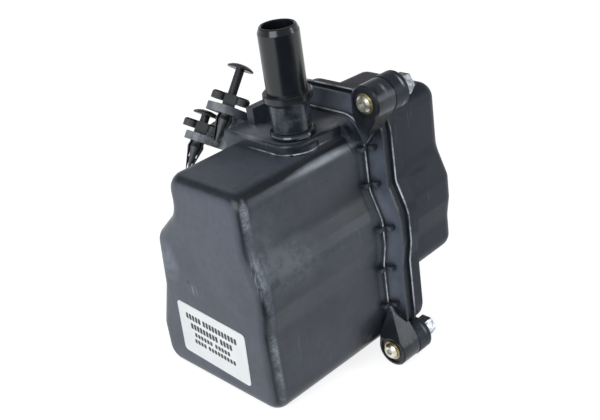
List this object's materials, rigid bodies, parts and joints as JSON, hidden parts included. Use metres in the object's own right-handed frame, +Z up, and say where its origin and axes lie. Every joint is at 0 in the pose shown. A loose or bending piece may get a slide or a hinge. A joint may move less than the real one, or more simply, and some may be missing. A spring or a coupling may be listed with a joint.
{
  "type": "oil catch can",
  "caption": "Moulded black engine oil catch can with a channelled flange, a screwed-on cover, an upright hose spigot, a side outlet and a bracket with push clips",
  "frame": {"origin": "Under the middle of the can's overall box, level with the lowest screw ears", "axes": "+X from the label end to the cover and its outlet, +Y to the bracket at the back, +Z up along the hose spigot"},
  "size_m": [0.163, 0.1226, 0.1919],
  "materials": {
    "tank_plastic": "moulded, lightly scuffed satin",
    "cover_plastic": "moulded satin",
    "seal_rubber": "plain",
    "baffle_plastic": "plain",
    "pad_mesh": "knitted mesh",
    "screw_steel": "yellow-passivated",
    "sleeve_brass": "turned",
    "nut_steel": "zinc plated",
    "spigot_plastic": "smooth",
    "grommet_rubber": "shiny",
    "clip_plastic": "satin",
    "pin_plastic": "satin",
    "label_paper": "printed film"
  },
  "bodies": {
    "can": {"tank_shell": "tank_plastic", "cover_shell": "cover_plastic", "flange_gasket": "seal_rubber", "baffle_plate": "baffle_plastic", "coalescing_pad": "pad_mesh", "flange_screws": "screw_steel", "compression_sleeves": "sleeve_brass", "flange_nuts": "nut_steel", "hose_spigot": "spigot_plastic", "spigot_grommet": "grommet_rubber", "upper_clip_body": "clip_plastic", "lower_clip_body": "clip_plastic", "inspection_label": "label_paper"},
    "upper_pin": {"upper_clip_pin": "pin_plastic"},
    "lower_pin": {"lower_clip_pin": "pin_plastic"}
  },
  "joints": [
    {"name": "upper_pin_push", "type": "slide", "parent": "can", "child": "upper_pin", "axis": [-0.6, 0, -0.8], "range_m": [0, 0.0131]},
    {"name": "lower_pin_push", "type": "slide", "parent": "can", "child": "lower_pin", "axis": [-0.6, 0, -0.8], "range_m": [0, 0.0035]}
  ]
}
